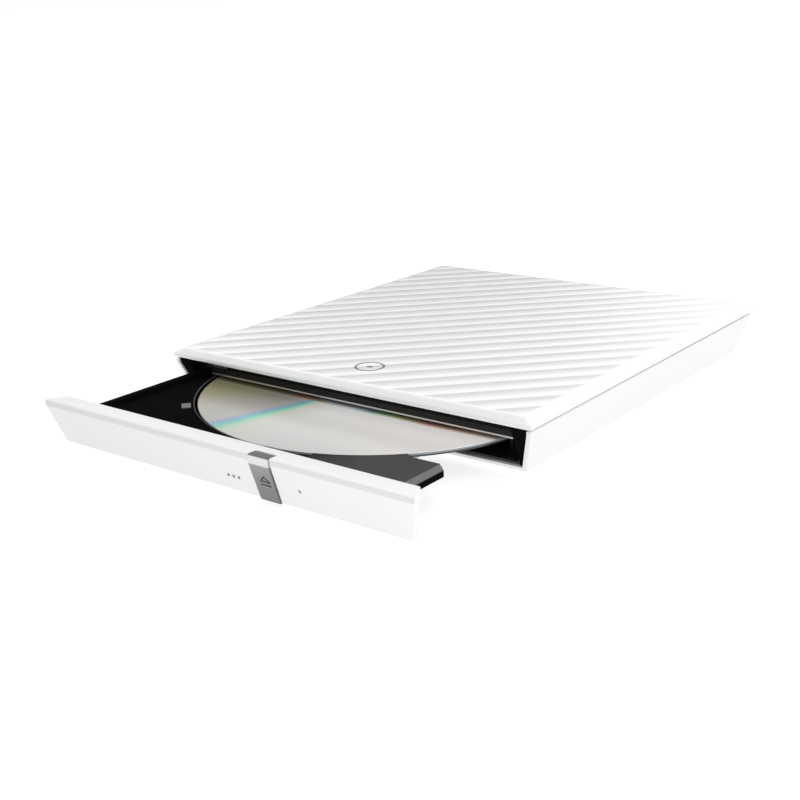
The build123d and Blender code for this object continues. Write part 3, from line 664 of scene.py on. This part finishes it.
def flex_finish():
    """Amber film over parallel copper conductors."""
    s = Shader("polyimide_flex")
    x, _, _ = s.axes()
    copper = striped(s, x, 0.7, 0.55)
    haze = s.noise(5.0, detail=4.0)
    film = s.mix(haze, rgba((0.34, 0.13, 0.02)), rgba((0.42, 0.17, 0.03)))
    s.set(
        Base_Color=s.mix(copper, film, rgba((0.55, 0.2, 0.05))),
        Metallic=s.times(copper, 0.5),
        Roughness=s.span(haze, 0.18, 0.3),
        Normal=s.bump(copper, 0.02),
    )
    return s.material


def threaded(name):
    """Ground steel with a fine helical thread round the screw's own line, darker in the thread's grooves as
    painted shade.
    """
    s = Shader(name)
    x, y, z = s.axes(s.moved((screw_x * MM, 0.0, screw_z * MM)))
    turn = s.math("DIVIDE", s.math("ARCTAN2", z, x), tau)
    groove = s.math("FRACT", s.add(s.math("DIVIDE", y, SCREW_PITCH * MM), turn))
    profile = s.math("ABSOLUTE", s.less(groove, 0.5))
    wear = s.noise(0.8, detail=3.0)
    s.set(
        # Painted shade: the colour darkens into the grooves of the thread.
        Base_Color=s.mix(profile, rgba(0.22), rgba(0.75)),
        Metallic=0.95,
        Roughness=s.span(wear, 0.2, 0.34),
        Normal=s.bump(profile, 0.25),
    )
    return s.material


def lens_finish():
    """Coated glass in a black frame."""
    glass_radius, frame_top = 1.75, 7.4
    s = Shader("coated_lens")
    _, _, z = s.axes()
    distance = radius_from(s, 0.0, lens_y)
    inside = s.math("LESS_THAN", distance, glass_radius * MM)
    glass = s.times(inside, s.math("GREATER_THAN", z, frame_top * MM))
    depth = s.span(distance, 0.0, 1.0, 0.0, glass_radius * MM)
    tint = s.mix(depth, rgba((0.05, 0.03, 0.12)), rgba((0.12, 0.2, 0.42)))
    grain = s.noise(0.2, detail=3.0)
    black_frame = s.mix(grain, rgba(0.01), rgba(0.02))
    s.set(
        Base_Color=s.mix(glass, black_frame, tint),
        Roughness=s.less(s.span(grain, 0.45, 0.6), s.times(glass, 0.42)),
        Coat_Weight=glass,
        Coat_Roughness=0.02,
        Normal=s.bump(grain, 0.004),
    )
    return s.material


def turned(name, x_mm, y_mm, color, rough):
    """A drawn or turned steel face with rings round an upright line."""
    ring_waves = 26000.0
    s = Shader(name)
    rings = s.math("SINE", s.times(radius_from(s, x_mm, y_mm), ring_waves))
    stain = s.noise(3.0, detail=4.0)
    s.set(
        Base_Color=s.mix(stain, tinted(color, 0.85), tinted(color, 1.12)),
        Metallic=0.95,
        Roughness=s.span(stain, rough - 0.06, rough + 0.08, 0.3, 0.7),
        Normal=s.bump(rings, 0.002),
    )
    return s.material


def chip_finish():
    """Black moulded epoxy, a little paler in places."""
    s = Shader("moulded_epoxy")
    grain = s.noise(0.18, detail=4.0, roughness=0.6)
    patch = s.noise(3.0, detail=1.0)
    s.set(
        Base_Color=s.mix(patch, rgba(0.010), rgba(0.026)),
        Roughness=s.span(grain, 0.4, 0.62),
        Normal=s.bump(grain, 0.02),
    )
    return s.material


def lamp_finish():
    """Smoky clear light pipe."""
    s = Shader("smoked_light_pipe")
    cloud = s.noise(0.6, detail=3.0)
    s.set(
        Base_Color=s.mix(cloud, rgba((0.2, 0.21, 0.22)), rgba((0.28, 0.29, 0.3))),
        Roughness=s.span(cloud, 0.08, 0.16),
        Coat_Weight=0.5,
        Transmission_Weight=0.2,
        Normal=s.bump(cloud, 0.006),
    )
    return s.material


# ---------------------------------------------------------------- dressing the nodes
white = white_gloss()
black = tray_plastic()
steel = brushed("plated_steel", (0.5, 0.5, 0.5), 0.36, "y")
ribbed_cover(white_gloss("cover_gloss_plastic", (0.905, 0.905, 0.903), cover_white))
rounded("bottom_case", 0.22, white)
rounded("front_bezel", 0.28, white_gloss("bezel_gloss_plastic", pattern=bezel_painted_shade))
rounded("tray", 0.16, black, shortest_mm=0.4)
rounded("eject_button", 0.18, button_finish())
slot_finish = {
    "rail_steel": steel,
    "sheet_steel": steel,
    "lid_steel": lid_finish(),
    "rod_steel": brushed("ground_rod_steel", (0.62, 0.62, 0.63), 0.16, "y", depth_mm=0.001),
    "motor_steel": turned("drawn_motor_can", 0.0, disc_y, (0.42, 0.42, 0.42), 0.3),
    "screw_steel": grained(
        "zinc_plating", (0.46, 0.46, 0.43), 0.32, metallic=0.95, grain_mm=0.2, mottle=0.2,
    ),
    "pickup_metal": grained(
        "cast_zinc", (0.32, 0.32, 0.33), 0.5, metallic=0.8, grain_mm=0.22, depth_mm=0.03, mottle=0.14,
    ),
    "black_plastic": black,
    "guide_plastic": grained("black_acetal", 0.02, 0.42, grain_mm=0.25),
    "clear_stop": grained("grey_nylon", (0.11, 0.11, 0.11), 0.5, grain_mm=0.3, mottle=0.06),
    "dark_rubber": grained("foot_rubber", 0.022, 0.85, grain_mm=0.18, depth_mm=0.03, mottle=0.2),
    "foam": foam(),
    "disc_plastic": disc_finish(),
    "lens": lens_finish(),
    "lamp": lamp_finish(),
    "circuit": board_finish(),
    "chip": chip_finish(),
    "connector": contacts_finish("nylon_connector", 1.0, 0.45, 6.4, 8.6),
    "flex": flex_finish(),
}
for node_name, cad_node in nodes.items():
    if slot_of(cad_node) in slot_finish:
        paint(node_name, slot_finish[slot_of(cad_node)])
paint("lead_screw", threaded("threaded_steel"))
# Painted shade: the chassis steel is near black, darker than plated steel, for the shade inside the mouth.
paint("drive_chassis", brushed("dark_chassis_steel", (0.05, 0.05, 0.052), 0.42, "x", metallic=0.7))


def face_y(z):
    """Y of the button's leaning face at a height."""
    return button_front + (BUTTON_BEND_Z - z) * BUTTON_LEAN


def stroke(bm, start, end, half):
    """A bar printed on the button's face between two points given as X and Z."""
    buried, raised = 0.12, -0.05
    start, end = Vector(start), Vector(end)
    run = (end - start).normalized() * half
    side = Vector((-run.y, run.x))
    outline = (start - run + side, end + run + side, end + run - side, start - run - side)
    back, front = (
        [bm.verts.new((x * MM, (face_y(z) + into) * MM, z * MM)) for x, z in outline]
        for into in (buried, raised)
    )
    bm.faces.new(back[::-1])
    bm.faces.new(front)
    for k in range(4):
        after = (k + 1) % 4
        bm.faces.new((back[k], back[after], front[after], front[k]))


def eject_symbol():
    """The usual eject sign on the button: an outlined triangle over a bar."""
    left, right, middle = 18.5, 21.8, 20.15
    triangle_foot, triangle_top, bar_height = 7.85, 9.45, 6.75
    triangle_half, bar_half = 0.2, 0.22
    bm = bmesh.new()
    corners = ((left, triangle_foot), (right, triangle_foot), (middle, triangle_top))
    for k in range(3):
        stroke(bm, corners[k], corners[(k + 1) % 3], triangle_half)
    stroke(bm, (left, bar_height), (right, bar_height), bar_half)
    bmesh.ops.recalc_face_normals(bm, faces=bm.faces)
    new_piece("eject_symbol", bm, grained("symbol_ink", 0.02, 0.45, grain_mm=0.15), "eject_button")


eject_symbol()


# ---------------------------------------------------------------- studio
def floor():
    """A wide pale floor that glows a little, so that it stays white up to the object's soft shadow."""
    bpy.ops.mesh.primitive_plane_add(size=200.0)
    plane = bpy.context.object
    plane.name = "studio_floor"
    s = Shader("pale_floor")
    s.set(
        Base_Color=s.mix(s.noise(300.0), rgba(0.32), rgba(0.34)),
        Roughness=0.9,
        Specular_IOR_Level=0.0,
        Emission_Color=rgba(1.0),
        Emission_Strength=0.8,
    )
    plane.data.materials.append(s.material)


def world():
    """A white studio, brightest high over the rear, with a soft dark patch low behind the left corner."""
    made = bpy.data.worlds.new("studio_world")
    scene.world = made
    made.use_nodes = True
    tree = made.node_tree
    background = tree.nodes["Background"]
    where = tree.nodes.new("ShaderNodeTexCoord").outputs["Generated"]

    def between(value, limits, low, high, smooth=False):
        ramp = tree.nodes.new("ShaderNodeMapRange")
        if smooth:
            ramp.interpolation_type = "SMOOTHSTEP"
        for name, number in zip(("From Min", "From Max", "To Min", "To Max"), (*limits, low, high)):
            ramp.inputs[name].default_value = number
        tree.links.new(value, ramp.inputs["Value"])
        return ramp.outputs["Result"]

    def patch(azimuth, elevation, inner, outer, low, high):
        """`high` within `inner` degrees of a direction, falling to `low` at `outer`.

        Azimuth is measured from +Y towards +X.
        """
        a, e = radians(azimuth), radians(elevation)
        dot = tree.nodes.new("ShaderNodeVectorMath")
        dot.operation = "DOT_PRODUCT"
        tree.links.new(where, dot.inputs[0])
        dot.inputs[1].default_value = (sin(a) * cos(e), cos(a) * cos(e), sin(e))
        limits = (cos(radians(outer)), cos(radians(inner)))
        return between(dot.outputs["Value"], limits, low, high, smooth=True)

    def blend(factor, first, second):
        mix = tree.nodes.new("ShaderNodeMix")
        sockets = (mix.inputs["Factor"], mix.inputs[2], mix.inputs[3])
        for socket, value in zip(sockets, (factor, first, second)):
            if isinstance(value, bpy.types.NodeSocket):
                tree.links.new(value, socket)
            else:
                socket.default_value = value
        return mix.outputs[0]

    height = tree.nodes.new("ShaderNodeSeparateXYZ")
    tree.links.new(where, height.inputs[0])
    risen = between(height.outputs["Z"], (sin(radians(1.0)), sin(radians(4.0))), 0.0, 1.0)
    dark = blend(risen, 1.0, patch(-38, 9, inner=3, outer=17, low=1.0, high=0.1))
    product = tree.nodes.new("ShaderNodeMath")
    product.operation = "MULTIPLY"
    tree.links.new(dark, product.inputs[0])
    tree.links.new(patch(-10, 55, inner=5, outer=75, low=0.79, high=1.37), product.inputs[1])
    to_camera = tree.nodes.new("ShaderNodeLightPath").outputs["Is Camera Ray"]
    tree.links.new(blend(to_camera, product.outputs[0], 1.0), background.inputs["Strength"])
    background.inputs["Color"].default_value = rgba(1.0)


def softbox(name, location, target, width, height, watts):
    """A soft rectangular lamp turned to a point, in metres."""
    light = bpy.data.lights.new(name, "AREA")
    light.shape = "RECTANGLE"
    light.size, light.size_y = width, height
    light.energy = watts
    lamp = bpy.data.objects.new(name, light)
    scene.collection.objects.link(lamp)
    lamp.location = location
    lamp.rotation_euler = (Vector(target) - Vector(location)).to_track_quat("-Z", "Y").to_euler()


def camera(azimuth, elevation, distance, target, focal, roll):
    """A camera on a sphere round `target`, in metres and degrees, rolled about its line of sight."""
    a, e = radians(azimuth), radians(elevation)
    back = Vector((sin(a) * cos(e), -cos(a) * cos(e), sin(e)))
    right = Vector((0, 0, 1)).cross(back).normalized()
    up = back.cross(right)
    r = radians(roll)
    right, up = right * cos(r) + up * sin(r), up * cos(r) - right * sin(r)
    data = bpy.data.cameras.new("photo_camera")
    made = bpy.data.objects.new("photo_camera", data)
    scene.collection.objects.link(made)
    turn = Matrix((right, up, back)).transposed().to_4x4()
    made.matrix_world = Matrix.Translation(Vector(target) + back * distance) @ turn
    data.sensor_width = 36.0
    data.lens = focal
    data.clip_start = 0.01
    data.clip_end = 500.0
    scene.camera = made


floor()
world()
softbox(
    "right_fill", location=(0.42, -0.42, 0.24), target=(0.04, -0.1, 0.01),
    width=0.25, height=0.2, watts=0.18,
)
camera(
    azimuth=38.03, elevation=18.18, distance=0.39375, target=(0.00838, -0.05493, 0.008),
    focal=55.42, roll=-1.91,
)
scene.view_settings.view_transform = "Standard"
scene.view_settings.look = "None"
